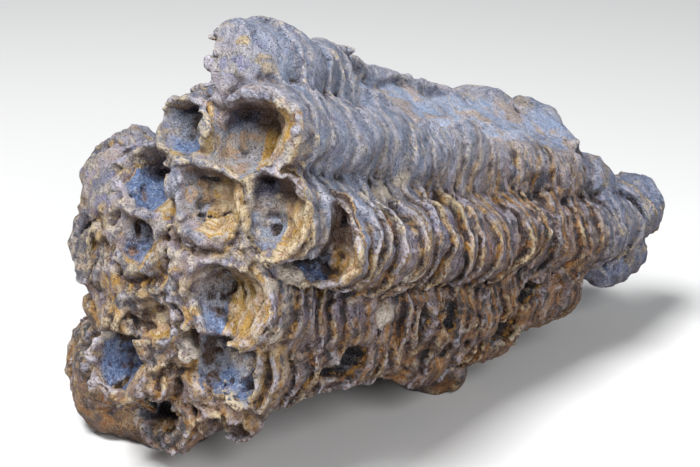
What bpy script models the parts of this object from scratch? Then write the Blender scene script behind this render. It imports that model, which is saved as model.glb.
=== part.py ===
"""Fossil coral: a loose block of a colony, its corallites fanned out from a blunt tip to a domed face of cups.

+Z is up and the block lies on z = 0. The cups face -Y and the tip points along +Y.
"""

import math
from typing import NamedTuple

import bmesh
import bpy
from mathutils import Vector, noise

MM = 0.001
FOOTPRINT_CENTRE = (-3.6, -1.5)  # x and y, in the layout below, of the point that the block is placed by

# The domed face of cups, in millimetres
FACE_FRONT = -77.0  # y of its most forward point
FACE_CENTRE = (-6.0, 44.0)  # x and z of that point
FACE_DOME_RADIUS = 110.0

# The blunt tip that the stems come from
TIP_Y = 72.0
TIP_CENTRE = (3.0, 20.0)  # x and z of the middle of the bundle there
FAN_CENTRE = (0.0, 46.0)  # x and z that the stems spread away from at the face
TIP_SPREAD = (0.26, 0.40)  # share of that spread, across and up, that is left at the tip

# Each stem is a stack of cups that flare towards the face, so its side is a row of rims
RIM_PITCH = 8.0
RIM_PITCH_SWING = 0.25
RIM_RELIEF = 2.2
STEM_TAPER = 0.72  # radius at the tip over radius at the face
STEM_SIDES = 20
STEM_BOW = (-6.0, 0.0)  # how far the middle of a stem lies off its straight line, across and up
LUMP_SIZE = 12.0
LUMP_RELIEF = 0.18  # share of the radius

# The hollow of a cup
CUP_BORE = 0.74  # radius of its mouth over the outer radius
CUP_FLOOR = 0.55  # radius of its floor over the radius of its mouth
CUP_LEAN = 0.16  # how far its floor sits off centre, away from the flank, over the outer radius
CUP_SIDES = 14
CUP_CLEARANCE = 4.0  # how far its cutter stands in front of the mouth

# The rock between the stems
MATRIX_SETBACK = 2.0  # how far behind the cups it ends
MATRIX_REACH = 0.7  # only stems at least this long hold rock between them

# The skin
GRAIN = 1.2  # size of the cells that the shapes are fused on
SKIN_KEPT = 0.1  # share of the fused faces that is kept


class Corallite(NamedTuple):
    """One stem. across and up are where its axis meets the face, in millimetres."""

    name: str
    across: float
    up: float
    radius: float
    depth: float = 0.0  # of its cup, or 0 where the cup is filled or broken off
    reach: float = 1.0  # share of the way to the tip that the stem runs
    setback: float = 0.0  # how far behind the domed face it ends
    bow: tuple = STEM_BOW


class Blob(NamedTuple):
    """A lump of rock, or the hollow of a pit. x, y and z are its centre and its half sizes."""

    name: str
    centre: tuple
    half: tuple


CORALLITES = (
    # The flank that shows its rims, from the top down
    Corallite("crest", 6, 93, 10.5, 0.0, 0.35, 5),
    Corallite("shoulder", 19, 81, 10.5, 9.0, 0.78),
    Corallite("brow", 25, 67, 9.0, 8.0, 0.35, -2),
    Corallite("brow_old", 31, 63, 10.5, 5.0, 0.9, 6, (-5, -3)),
    Corallite("cheek", 16, 48, 11.0, 8.0, 0.76, 0, (0, -8)),
    Corallite("jaw", 15, 32, 9.5, 9.0, 0.62, 0, (0, 0)),
    Corallite("keel", 15, 26, 8.0, 0.0, 0.6, 50, (0, -3)),
    # The middle of the face
    Corallite("temple", 0, 80, 8.0, 7.0, 0.7),
    Corallite("bridge", 9, 67, 9.0, 7.0, 0.8),
    Corallite("hollow", -8, 67, 9.0, 8.0, 0.8),
    Corallite("middle", -8, 54, 8.0, 5.0, 0.8),
    Corallite("dimple", -5, 38, 9.0, 3.0, 0.8),
    Corallite("lower", -12.4, 26.4, 9.0, 8.0, 0.8, -3.6),
    # The far edge of the face and the foot
    Corallite("edge_high", -25.5, 64, 10.3, 0.0, 0.9, 1),
    Corallite("edge_mid", -29, 49, 10.0, 5.0, 0.94),
    Corallite("edge_low", -29, 33, 8.5, 0.0, 0.94, 1),
    Corallite("heel_far", -33, 18, 11.5, 3.0, 0.4, 0),
    Corallite("heel", -15, 14, 9.5, 6.0, 0.2, 1),
    # Behind the face, seen only from above or behind
    Corallite("ridge", -9, 89, 10.0, 0.0, 0.82, 22, (-4, 3)),
    Corallite("back_high", -24, 77, 10.0, 0.0, 0.85, 27),
    Corallite("back_mid", -37, 58, 11.0, 0.0, 0.94, 22),
    Corallite("back_low", -36, 16, 13.0, 0.0, 0.7, 34),
)

LUMPS = (
    # The knobby far rim of the chalky trough on top
    Blob("rim_front", (-13, -8, 70), (9, 12, 8)),
    Blob("rim_mid", (-15, 11, 62), (11, 14, 8.5)),
    Blob("rim_back", (-14, 29, 57), (11, 13, 9)),
    Blob("rim_end", (-10, 45, 51), (9, 10, 9)),
    # What the block stands on, with the foot under the face
    Blob("belly", (-4, 3, 8), (13, 8, 10.5)),
    Blob("far_belly", (-24, 22, 9), (12, 16, 12)),
    Blob("foot", (-26, -58, 8), (15, 10, 11)),
    Blob("underside", (-13, -20, 17), (14, 34, 12)),
    # The tip
    Blob("tip_upper", (7, 64.5, 31.5), (8.5, 11, 9)),
    Blob("tip_lower", (6.5, 60, 20.5), (8, 11.5, 8)),
    Blob("row_end", (8, 46, 42), (7, 8, 7)),
    # The worn corners of the face
    Blob("corner", (-35, -66, 13), (9.5, 9, 13)),
    Blob("under_jaw", (4.8, -64, 18), (6.5, 8.5, 6.4)),
    Blob("peak", (6.8, -60.5, 88.5), (7.8, 7, 11.2)),
    Blob("temple_edge", (-1.5, -65, 80.5), (6.5, 7.5, 7.3)),
    Blob("hollow_edge", (-9, -65, 73), (6, 7, 6)),
)

PITS = (
    # Cups broken open and gaps along the lower flank
    Blob("broken_cup", (24, -47, 28), (8, 7, 5.5)),
    Blob("dark_cup", (22.5, -13, 28.5), (6, 3.6, 4.8)),
    Blob("cave", (20, 17, 24), (6, 4, 2.8)),
    Blob("gap", (18, -26, 19), (5, 2.2, 3.2)),
    Blob("black_hole", (7.8, -71, 16.8), (4.2, 8, 3.8)),
)


def face_y(across, up):
    """The y of the domed face of cups."""
    off = (across - FACE_CENTRE[0]) ** 2 + (up - FACE_CENTRE[1]) ** 2
    return FACE_FRONT + off / (2 * FACE_DOME_RADIUS)


def root_of(c):
    """Where the axis of a stem would start, at the tip."""
    return Vector(
        (
            TIP_CENTRE[0] + TIP_SPREAD[0] * (c.across - FAN_CENTRE[0]),
            TIP_Y,
            TIP_CENTRE[1] + TIP_SPREAD[1] * (c.up - FAN_CENTRE[1]),
        )
    )


def mouth_of(c):
    """Where the axis of a stem meets the domed face."""
    return Vector((c.across, face_y(c.across, c.up), c.up))


def axis_length(c):
    return (root_of(c) - mouth_of(c)).length


def axis_at(c, behind):
    """(point, growth direction) of a stem's bowed axis at a distance behind the domed face."""
    mouth, root = mouth_of(c), root_of(c)
    bow = Vector((c.bow[0], 0, c.bow[1]))
    t = behind / axis_length(c)
    point = mouth.lerp(root, t) + bow * (4 * t * (1 - t))
    growth = mouth - root - bow * (4 - 8 * t)
    return point, growth.normalized()


def across_axes(growth):
    """Two unit vectors square to the growth direction: one towards the flank, one upwards."""
    side = growth.cross(Vector((0, 0, 1))).normalized()
    return -side, side.cross(growth).normalized()


def rim_depths(index, first, last):
    """Distances of the rims behind the face, at an uneven pitch."""
    depths = [first]
    while depths[-1] < last - RIM_PITCH:
        swing = math.sin(2.4 * index + 1.9 * len(depths))
        depths.append(depths[-1] + RIM_PITCH * (1 + RIM_PITCH_SWING * swing))
    return depths


def stem_profile(c, index):
    """(distance behind the face, radius) of each ring: at each rim a lip, then a wall that draws in."""
    length = axis_length(c)
    last = c.reach * length
    lips = rim_depths(index, c.setback, last)
    rings = []
    if c.depth == 0:
        rings.append((lips[0] - 0.35 * c.radius, 0.55 * c.radius))
    for lip, following in zip(lips, lips[1:] + [last]):
        radius = c.radius * (1 - (1 - STEM_TAPER) * lip / length)
        for share, draw in ((0.0, 0.0), (0.5, 0.55), (0.9, 1.0)):
            rings.append((lip + share * (following - lip), radius - draw * RIM_RELIEF))
    rings.append((last, 0.75 * rings[-1][1]))
    rings.append((last + 0.25 * c.radius, 0.4 * rings[-1][1]))
    return rings


def lumpy(point, radius):
    """The radius at a point in space, swollen or drawn in by smooth noise."""
    return radius * (1 + LUMP_RELIEF * noise.noise(point / LUMP_SIZE))


def add_tube(bm, rings, sides):
    """Adds one closed tube round rings of (centre, growth direction, radius), the growth end first."""
    loops = []
    for centre, growth, radius in rings:
        side, rise = across_axes(growth)
        loop = []
        for k in range(sides):
            angle = 2 * math.pi * k / sides
            spoke = side * math.cos(angle) + rise * math.sin(angle)
            point = centre + spoke * lumpy(centre + spoke * radius, radius)
            loop.append(bm.verts.new(point * MM))
        loops.append(loop)
    for near, far in zip(loops, loops[1:]):
        for k in range(sides):
            j = (k + 1) % sides
            bm.faces.new((near[k], near[j], far[j], far[k]))
    bm.faces.new(list(reversed(loops[0])))
    bm.faces.new(loops[-1])


def add_stem(bm, c, index):
    rings = []
    for behind, radius in stem_profile(c, index):
        point, growth = axis_at(c, behind)
        rings.append((point, growth, radius))
    add_tube(bm, rings, STEM_SIDES)


def add_cup(bm, c):
    """A funnel whose floor leans away from the flank."""
    mouth = c.radius * CUP_BORE
    rings = []
    for behind, share in ((-CUP_CLEARANCE, 1.15), (0.0, 1.0), (0.6 * c.depth, 0.8), (c.depth, CUP_FLOOR)):
        point, growth = axis_at(c, c.setback + behind)
        side = across_axes(growth)[0]
        lean = -side * (CUP_LEAN * c.radius * max(0.0, behind) / c.depth)
        rings.append((point + lean, growth, mouth * share))
    add_tube(bm, rings, CUP_SIDES)


def add_blob(bm, blob):
    made = bmesh.ops.create_icosphere(bm, subdivisions=2, radius=1.0)
    centre = Vector(blob.centre)
    for v in made["verts"]:
        swell = lumpy(centre + v.co * max(blob.half), 1.0)
        v.co = (centre + Vector(a * b for a, b in zip(v.co, blob.half)) * swell) * MM


def add_matrix(bm):
    """The rock between the stems: the hull of their axes, a little short of the cups."""
    corners = []
    for c in CORALLITES:
        if c.reach >= MATRIX_REACH:
            first = c.setback + MATRIX_SETBACK
            last = c.reach * axis_length(c)
            for share in (0.0, 0.5, 1.0):
                point = axis_at(c, first + share * (last - first))[0]
                corners.append(bm.verts.new(point * MM))
    made = bmesh.ops.convex_hull(bm, input=corners)
    spare = [v for v in corners if not v.link_faces]
    bmesh.ops.delete(bm, geom=spare, context="VERTS")


def fill_rock(bm):
    """Stems, lumps and matrix, each closed and all overlapping."""
    add_matrix(bm)
    for index, c in enumerate(CORALLITES):
        add_stem(bm, c, index)
    for blob in LUMPS:
        add_blob(bm, blob)


def fill_hollows(bm):
    """Cups and pits."""
    for c in CORALLITES:
        if c.depth > 0:
            add_cup(bm, c)
    for blob in PITS:
        add_blob(bm, blob)


def fill_floor(bm):
    """A slab whose top is the surface that the block lies on."""
    size, thick = 400.0, 40.0
    made = bmesh.ops.create_cube(bm, size=1.0)
    bmesh.ops.scale(bm, vec=Vector((size, size, thick)) * MM, verts=made["verts"])
    bmesh.ops.translate(bm, vec=Vector((0, 0, -thick / 2)) * MM, verts=made["verts"])


def mesh_object(name, fill):
    """A new object whose mesh fill() makes, with its faces pointing out."""
    bm = bmesh.new()
    fill(bm)
    bmesh.ops.recalc_face_normals(bm, faces=bm.faces)
    mesh = bpy.data.meshes.new(name)
    bm.to_mesh(mesh)
    bm.free()
    obj = bpy.data.objects.new(name, mesh)
    obj.location = Vector((-FOOTPRINT_CENTRE[0], -FOOTPRINT_CENTRE[1], 0)) * MM
    bpy.context.scene.collection.objects.link(obj)
    return obj


def fuse(obj, name):
    """Joins overlapping bodies into one skin with an even grain."""
    remesh = obj.modifiers.new(name, "REMESH")
    remesh.mode = "VOXEL"
    remesh.voxel_size = GRAIN * MM


def subtract(obj, name, fill):
    """Cuts a hidden cutter's bodies out of an object."""
    cutter = mesh_object(name, fill)
    cutter.hide_render = True
    cutter.display_type = "WIRE"
    cut = obj.modifiers.new(name, "BOOLEAN")
    cut.operation = "DIFFERENCE"
    cut.solver = "EXACT"
    cut.use_self = True
    cut.object = cutter


def thin(obj, share):
    decimate = obj.modifiers.new("Thin", "DECIMATE")
    decimate.ratio = share


def stone_material():
    material = bpy.data.materials.new("coral_limestone")
    material.use_nodes = True
    shader = material.node_tree.nodes["Principled BSDF"]
    shader.inputs["Base Color"].default_value = (0.27, 0.22, 0.19, 1)
    shader.inputs["Roughness"].default_value = 0.85
    shader.inputs["Metallic"].default_value = 0.0
    return material


def build_colony():
    colony = mesh_object("coral_colony", fill_rock)
    fuse(colony, "Fuse the growth")
    subtract(colony, "hollow_cutters", fill_hollows)
    fuse(colony, "Even the skin")
    thin(colony, SKIN_KEPT)
    subtract(colony, "floor_cutter", fill_floor)
    colony.data.materials.append(stone_material())
    return colony


def main():
    for obj in list(bpy.data.objects):
        bpy.data.objects.remove(obj)
    build_colony()


main()
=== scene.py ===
"""The looks of the fossil coral: its fine stone surface, weathered colours and the photograph's camera."""

import math
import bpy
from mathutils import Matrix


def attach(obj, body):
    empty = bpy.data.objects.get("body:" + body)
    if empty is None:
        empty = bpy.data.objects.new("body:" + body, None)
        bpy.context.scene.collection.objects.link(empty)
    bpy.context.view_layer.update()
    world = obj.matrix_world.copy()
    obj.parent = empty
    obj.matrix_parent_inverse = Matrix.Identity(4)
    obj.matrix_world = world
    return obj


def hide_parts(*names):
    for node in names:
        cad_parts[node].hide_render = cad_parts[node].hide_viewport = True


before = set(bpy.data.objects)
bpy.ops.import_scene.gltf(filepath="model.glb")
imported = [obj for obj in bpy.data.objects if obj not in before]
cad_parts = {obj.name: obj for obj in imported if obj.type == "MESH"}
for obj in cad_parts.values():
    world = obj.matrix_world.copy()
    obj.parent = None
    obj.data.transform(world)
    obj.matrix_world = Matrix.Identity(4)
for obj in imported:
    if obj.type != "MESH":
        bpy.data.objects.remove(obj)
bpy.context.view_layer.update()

from concurrent.futures import ThreadPoolExecutor
from typing import NamedTuple

import bmesh
import bpy
import numpy as np
from mathutils import Vector

MM = 0.001

# The layout below is in millimetres, with the tip towards +y and the flank that shows towards +x.
# A wave in it is the (strength, size, table) of a noise that is added to something.
FOOTPRINT_CENTRE = (-3.6, -1.5, 0.0)  # the point that the block is placed by

# The domed face of cups
FACE_FRONT = -77.0
FACE_CENTRE = (-6.0, 44.0)
FACE_DOME_RADIUS = 110.0

# The blunt tip that the stems come from
TIP_Y = 72.0
TIP_CENTRE = (3.0, 20.0)
FAN_CENTRE = (0.0, 46.0)
TIP_SPREAD = (0.26, 0.40)
STEM_TAPER = 0.72
STEM_BOW = (-6.0, 0.0)

# Rims: each stem is a stack of cups that flare towards the face
RIM_PITCHES = (1.8, 8.0)  # the shortest and the longest; most are in the lower half
RIM_PITCH = 4.3  # that has the mean relief
RIM_RELIEF = 1.45
RIM_FLARE = 0.6  # how far a lip leans towards the face, over how far it stands out
RIM_FLARE_REACH = (-1.0, 3.0)  # how far in and out the lean goes on
RIM_TILT = 0.12  # how far a rim lies askew on its stem
RIM_TILT_TURN = 7.0  # radians that its direction turns for each millimetre of the first rim's place
PITCH_SKEW = 1.7  # power that makes the short pitches commoner
STRENGTHS = (0.5, 1.25)  # the weakest and the strongest rim
RIM_SEED = 100
GROOVE_PLACE = 0.88  # share of a pitch over which the wall draws in before the next lip
GROOVE_CURVE = 0.7  # power that makes a groove deepen soon behind its lip
GROOVE_MEAN = 0.9
GROOVE_WAVE = (0.8, 7.5, 6)
LINE_PITCH = 1.3  # of the finer shells between the rims
LINE_RELIEF = 0.3
LINE_PLACE = 0.8  # share of a line's pitch over which it draws in
WIDTH_WAVE = (0.1, 14, 7)  # in a stem's width, as a share of it
WALL_OUTSET = 0.4
MOUTH_BLEND = (0.8, 1.2)  # of a stem's wall with its end, and more for each millimetre of bulge
ROOT_OVERRUN = 0.2  # how far past its reach a stem ends, over its radius
ROOT_DOME = 2.0
ROOT_BLEND = 4.0
STEM_ROOM = 6.0  # how far outside it a stem is still worked out
STEM_BULGE = 1.15  # its widest wall over its radius
TIP_SMOOTH = (78.0, 112.0)  # distances behind the face over which the rims wear away towards the tip
TIP_RELIEF = 0.6
YOUNG_WIDTH = 0.92  # width of the newest cup over that of the older ones it grew from
YOUNG_LENGTH = 6.0
YOUNG_BLEND = 0.8

# Shallow bands round the tip
BAND_RELIEF = 0.9
BAND_PITCH = 3.4
BAND_TILT = 0.3
BAND_START = (44, 54)  # y over which they set in
BAND_WAVE = (2.5, 6, 4)

# Webs of rock between the stems
MATRIX_SETBACK = 0.3
MATRIX_REACH = 0.7  # share of the way to the tip from which a stem counts
MATRIX_WAVE = (0.5, 5, 10)
WEB = 3.6
STEM_HOLD = 1.0  # distance over which one stem's rims give way to the next one's
RIM_REACH = (2.6, 0.8)  # distances outside a stem's wall over which its rims set in

# Hollows of the cups
CUP_CLEARANCE = 5.0
CUP_STEPS = 3.6
CUP_RISER = 0.45  # share of a step that its riser takes
CUP_WAVE = (0.06, 5, 8)  # in its steps, as a share of its depth
CUP_SQUARENESS = 2.7
CUP_FLOOR_BLEND = 2.4
CUP_FLOOR_LEAN = 0.85
CUP_EDGE_BLEND = 0.9
MOUTH_ROOM = (18.0, 7.0)  # how far aside from its mouth and behind its floor a cup is worked out

# The chalky plate on top, set out from the axis of the shoulder stem
PLATE_MIDDLE = (81.0, -6.0)  # behind the face, and away from the flank
PLATE_HALF = (43.0, 9.2)
PLATE_HEIGHT = 8.2
PLATE_SLOPE = 0.40
PLATE_DEPTH = 9.0
PLATE_INSET = 1.0
PLATE_BLEND = 3.0
PLATE_EDGE_BLEND = 1.5
PLATE_WAVES = ((1.3, 9, 3), (0.5, 3, 2))  # in its height
PLATE_EDGE_WAVE = (1.6, 6, 1)

# Pushes along x, y and z that leave no rim or cup true
WARPS = (
    ((1.5, 11, 0), (0.7, 4.2, 1)),
    ((1.6, 10, 2), (0.8, 3.6, 3)),
    ((1.5, 12, 4), (0.7, 4.6, 5)),
)

# Where the stone is rough, by y or by height
ROUGH_FACE = (-48, -66)
ROUGH_UNDER = (48, 28)
SMOOTH_TIP = (36, 50)
SMOOTH_PEAK = (78, 88)
SMOOTH_GROUND = (14, 6)
GRAINS = ((0.42, 1.9, 11), (0.3, 1.25, 8))
GRAIN_EVERYWHERE = 0.25
CRACK_DEPTH = 0.8
CRACK_WIDTH = 0.11  # in the noise that they follow
CRUMB_RELIEF = 0.5
CRUMB_GROWTH = 1.2  # by which the tallest crumbs stand out more
CRUMB_TALL = 0.4
PIT_BLEND = 0.8
NODULE_BLEND = 0.4

# The grid that the surface is read from
GRID_LOW = (-50.0, -84.0, -2.5)
GRID_HIGH = (44.0, 82.0, 106.0)
CELL = 0.56
BLOCK = 4  # cells along the side of a block that is first worked out at its middle alone
NEAR_SURFACE = 4.2  # distance there within which the block is worked out at every corner
BATCH = 120000
WORKERS = 4
TRIANGLES = 197000
FAR = 60.0

# The noises: tables of random numbers on a lattice with so many corners a side
LATTICE = 64
TABLE_COUNT = 12

# Where the surface counts as what, by distances and places in millimetres
BROW_LEAD = 1.0  # by which the youngest stem wins over the one it grew from
FULL_DEPTH = 6.0  # from which a cup's floor gets all of a cup's colours
CUP_PAINT_ROOM = 1.6
CUP_PAINT_SHARES = (-0.05, 1.4)  # of a cup's depth
HELD = (2.6, 0.6)
SUNK = (-1.2, -4.2)
FACE_STARTS = (-56, -68)
TIP_STARTS = (20, 52)
LEVEL_HEIGHT = 100.0

# Dips and knobs, by the share of stone in a cube round a point: its side, and the shares of none and all
CUBES = {"cavity": (3.4, 0.45, 0.85), "valley": (9.0, 0.45, 0.8), "edge": (2.2, 0.5, 0.2)}


class Corallite(NamedTuple):
    """One stem. across and up are where its axis meets the face, in millimetres."""

    name: str
    across: float
    up: float
    radius: float
    reach: float = 1.0  # share of the way to the tip that the stem runs
    setback: float = 0.0  # how far behind the domed face it ends
    bow: tuple = STEM_BOW
    relief: float = 1.0  # of its rims
    front: float = 0.0  # how far its end bulges where it carries no cup


class Hollow(NamedTuple):
    """The hollow of a cup. An outline is (towards the flank, up, half width, half height) from the axis."""

    stem: str
    mouth: tuple
    floor: tuple
    depth: float
    turn: float = 0.0  # of its corners, in degrees
    blue: float = 0.5  # share of blue stone on its floor
    dark: float = 0.6  # how dark the painted shade under its upper edge is; above 1 it reaches down over the cup
    bed: float = 0.6  # how far across it the stone of its floor reaches, before the terraces start


class Blob(NamedTuple):
    """A lump of rock, or the hollow of a pit. centre and half are its centre and its half sizes."""

    name: str
    centre: tuple
    half: tuple
    blend: float = 3.0  # how softly a lump merges with the rest


CORALLITES = (
    # The flank that shows its rims, from the top down
    Corallite("crest", 6, 93, 10.5, 0.35, 5, relief=0.5, front=2),
    Corallite("shoulder", 19, 81, 10.5, 0.78, relief=0.45),
    Corallite("brow_old", 31, 63, 10.5, 0.9, 6, (-5, -3), relief=1.15),
    Corallite("cheek", 16, 48, 11, 0.76, 0, (0, -8)),
    Corallite("jaw", 15, 32, 9.8, 0.62, 0, (0, 0), relief=1.3),
    Corallite("keel", 15, 26, 8, 0.6, 50, (0, -3), relief=1.1, front=2),
    # The middle of the face
    Corallite("temple", 0, 80, 8, 0.7),
    Corallite("bridge", 9, 67, 9, 0.8),
    Corallite("hollow", -8, 67, 9, 0.8),
    Corallite("middle", -8, 54, 8, 0.8),
    Corallite("dimple", -5, 38, 9, 0.8),
    Corallite("lower", -12.2, 26.4, 8.9, 0.8, -5.4),
    # The far edge of the face and the foot
    Corallite("edge_high", -26, 62.8, 10.3, 0.9, 1, front=3),
    Corallite("edge_mid", -28.3, 49, 9.3, 0.94),
    Corallite("edge_low", -29, 33, 8.5, 0.94, 1, front=3),
    Corallite("heel_far", -35, 20, 11.5, 0.4, 0, front=2),
    Corallite("heel", -9.5, 15.4, 9.8, 0.2, 0.5, relief=0.9),
    # Behind the face, seen only from above or behind
    Corallite("ridge", -9, 89, 10, 0.82, 22, (-4, 3), relief=0.45, front=3),
    Corallite("back_high", -24, 77, 10, 0.85, 27, front=3),
    Corallite("back_mid", -37, 58, 11, 0.94, 22, front=3),
    Corallite("back_low", -36, 16, 13, 0.7, 34, front=3),
)
# The cup that grew out of the mouth of brow_old, and covers half of it
BROW = Corallite("brow", 25, 67, 9, 0.35, -2)
STEMS = {c.name: c for c in CORALLITES + (BROW,)}

HOLLOWS = (
    Hollow("shoulder", (-1.6, -0.6, 9.2, 7.6), (-5.0, 0.2, 4.6, 5.4), 9, blue=0.1, dark=1.15),
    Hollow("brow_old", (1.4, 0.6, 8.6, 9.2), (-0.6, 0.8, 5.4, 6.8), 7, blue=0.3, dark=1.35, bed=0.66),
    Hollow("cheek", (-0.2, -0.6, 9.8, 8.0), (-4.8, -1.8, 3.8, 5.0), 6.5, dark=0.3, bed=0.4),
    Hollow("jaw", (-1.2, 0.1, 9.0, 7.9), (-3.0, 0.2, 6.4, 5.8), 7, dark=0.7, bed=0.9),
    Hollow("temple", (0.6, 0.1, 5.0, 6.2), (0.4, 0.6, 3.4, 4.4), 6.5, 12, blue=0.3, dark=0.9, bed=0.8),
    Hollow("bridge", (0.4, 1.0, 6.6, 6.2), (-2.0, 1.2, 4.0, 4.0), 6, blue=0.0, dark=0.7, bed=0.3),
    Hollow("hollow", (-0.5, 0.5, 8.0, 6.4), (-0.8, -0.8, 5.2, 3.4), 7.5, 20, blue=0.8, dark=1.2),
    Hollow("middle", (0.1, 0.8, 5.0, 4.2), (-0.2, 0.8, 3.4, 2.8), 5, blue=0.7, dark=0.8),
    Hollow("dimple", (0.7, 0.5, 6.0, 4.8), (0.4, 0.2, 4.2, 3.2), 1.6, 20, blue=0.0, dark=0.0, bed=0.3),
    Hollow("lower", (-0.1, 0.6, 5.3, 6.0), (-0.6, 0.6, 4.0, 4.6), 7.5, blue=1.0, bed=1.0),
    Hollow("edge_mid", (2.2, 1.2, 2.8, 5.2), (1.8, 1.0, 1.6, 3.6), 5, 6, blue=0.6, dark=0.8),
    Hollow("heel", (-1.6, 0.2, 7.8, 5.0), (-5.0, -0.4, 4.8, 3.2), 7.5, blue=0.0, dark=2.0),
    Hollow("crest", (-3.0, -1.0, 5.0, 5.0), (-3.0, -1.0, 3.0, 3.0), 1.6, blue=0.3, dark=0.1),
)
BROW_HOLLOW = Hollow("brow", (0.6, 0.4, 7.4, 7.4), (-1.4, 1.4, 4.2, 4.4), 8, blue=0.2, dark=1.15)

LUMPS = (
    # The knobby far rim of the chalky plate on top
    Blob("rim_front", (-13, -8, 70), (9, 12, 8)),
    Blob("rim_mid", (-15, 11, 62), (11, 14, 8.5)),
    Blob("rim_back", (-14, 29, 57), (11, 13, 9)),
    Blob("rim_end", (-10, 45, 51), (9, 10, 9)),
    # What the block stands on, with the foot under the face
    Blob("belly", (-4, 3, 8), (13, 8, 10.5)),
    Blob("far_belly", (-24, 22, 9), (12, 16, 12)),
    Blob("foot", (-26, -58, 8), (15, 10, 11)),
    Blob("underside", (-13, -20, 17), (14, 34, 12)),
    # The tip
    Blob("tip_upper", (7, 64.6, 31.6), (8.5, 11, 9), 1.2),
    Blob("tip_lower", (6.5, 60.4, 20.5), (8, 11.5, 8), 1.2),
    Blob("row_end", (8, 46, 42), (7, 8, 7)),
    # The corners of the face
    Blob("corner", (-35, -66, 13), (9.5, 9, 13)),
    Blob("under_jaw", (4.8, -64, 18), (6.2, 8.5, 6.3)),
    Blob("between_cups", (1.5, -67.5, 27), (6.5, 6.5, 8)),
    Blob("peak", (6.8, -60.5, 88.3), (8.8, 7, 12.4), 5.0),
    Blob("temple_edge", (-1.5, -65, 80.5), (6.5, 7.5, 7.3), 2.0),
    Blob("hollow_edge", (-9, -65, 73), (6, 7, 6), 2.0),
)

PITS = (
    # Cups broken open and gaps along the lower flank
    Blob("broken_cup", (24, -47, 28), (9.5, 6.5, 5.5)),
    Blob("dark_cup", (22.5, -13, 28.5), (7.5, 3.6, 4.8)),
    Blob("cave", (20, 17, 24), (8, 4, 2.8)),
    Blob("gap", (18, -26, 19), (7, 2.2, 3.2)),
    Blob("dark_slot", (21.5, -23, 29), (6, 1.6, 5)),
    Blob("under_cave", (17.5, 9, 18), (6, 5, 3)),
    Blob("jaw_slot", (23, -57, 29), (5, 1.6, 4)),
    Blob("low_gap", (15, -5, 13), (5, 3, 2.6)),
    Blob("row_gap", (21, -14, 36.5), (5, 3, 1.6)),
    Blob("black_hole", (6.2, -70, 15.4), (4.4, 10, 3.6)),
    Blob("tip_crease", (13, 61, 25.8), (4, 9, 0.9)),
)

NODULES = (
    # Grains and flakes of paler stone
    Blob("nodule_face", (3, -74, 33), (1.9, 1.9, 1.8)),
    Blob("nodule_jaw", (24.6, -69.6, 41.6), (1.4, 1.4, 1.2)),
    Blob("nodule_cheek", (23.6, -70.3, 53), (1.1, 1.1, 1.1)),
    Blob("nodule_left", (-18.4, -77.4, 32.3), (1.4, 1.3, 1.3)),
    Blob("flake_brow", (26.5, -65, 54.7), (2.4, 1.8, 1.0)),
    Blob("flake_valley", (18.6, -28, 64), (2.0, 2.6, 1.8)),
    Blob("flake_valley_front", (22.3, -36.5, 63.3), (1.8, 2.4, 1.6)),
    Blob("flake_row", (29, -34.5, 48), (1.5, 2.8, 2.2)),
    Blob("flake_low", (22.6, -37, 36.4), (1.6, 3.0, 2.2)),
)


def smooth_step(low, high, value):
    t = np.clip((value - low) / (high - low), 0.0, 1.0)
    return t * t * (3 - 2 * t)


def smooth_min(a, b, blend):
    h = np.maximum(blend - np.abs(a - b), 0.0) / blend
    return np.minimum(a, b) - h * h * (blend / 4)


def smooth_max(a, b, blend):
    return -smooth_min(-a, -b, blend)


def stairs(value, riser):
    """A staircase of whole steps, each rising over the last share `riser` of its tread."""
    whole = np.floor(value)
    return whole + smooth_step(1 - riser, 1.0, value - whole)


def lattice(seed):
    """Random numbers from -1 to 1 on the corners of a repeating lattice."""
    rng = np.random.default_rng(seed)
    return rng.uniform(-1, 1, LATTICE**3).astype(np.float32)


TABLES = [lattice(seed) for seed in range(TABLE_COUNT)]


def noise(p, size, table):
    """Smooth noise from -1 to 1 at points (x, y, z), with features of about one size."""
    corners, shares = [], []
    for axis in p:
        at = axis / np.float32(size) + np.float32(LATTICE * 4)
        low = at.astype(np.int32)
        share = at - low
        corners.append((low & (LATTICE - 1), (low + 1) & (LATTICE - 1)))
        shares.append(share * share * (3 - 2 * share))
    total = None
    for i in (0, 1):
        wx = shares[0] if i else 1 - shares[0]
        row = corners[0][i] * LATTICE
        for j in (0, 1):
            wxy = wx * (shares[1] if j else 1 - shares[1])
            column = (row + corners[1][j]) * LATTICE
            low = TABLES[table].take(column + corners[2][0])
            high = TABLES[table].take(column + corners[2][1])
            part = wxy * (low + (high - low) * shares[2])
            total = part if total is None else total + part
    return total


def waved(value, p, *waves):
    """The value with some waves added to it."""
    for strength, size, table in waves:
        value = value + strength * noise(p, size, table)
    return value


def warp(p):
    """Points pushed about a little, so that no rim or cup is true."""
    return [waved(axis, p, *waves) for axis, waves in zip(p, WARPS)]


def face_y(across, up):
    """The y of the domed face of cups."""
    off = (across - FACE_CENTRE[0]) ** 2 + (up - FACE_CENTRE[1]) ** 2
    return FACE_FRONT + off / (2 * FACE_DOME_RADIUS)


def axis_ends(c):
    """(mouth, root, length) of a stem's straight axis."""
    mouth = (c.across, face_y(c.across, c.up), c.up)
    root = (
        TIP_CENTRE[0] + TIP_SPREAD[0] * (c.across - FAN_CENTRE[0]),
        TIP_Y,
        TIP_CENTRE[1] + TIP_SPREAD[1] * (c.up - FAN_CENTRE[1]),
    )
    return mouth, root, math.dist(mouth, root)


def axis_at(c, t):
    """(x, y, z) of the bowed axis at a share t of the way from the face to the tip."""
    mouth, root, _ = axis_ends(c)
    lift = 4 * t * (1 - t)
    bow = (c.bow[0], 0.0, c.bow[1])
    return [mouth[i] + (root[i] - mouth[i]) * t + bow[i] * lift for i in range(3)]


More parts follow.
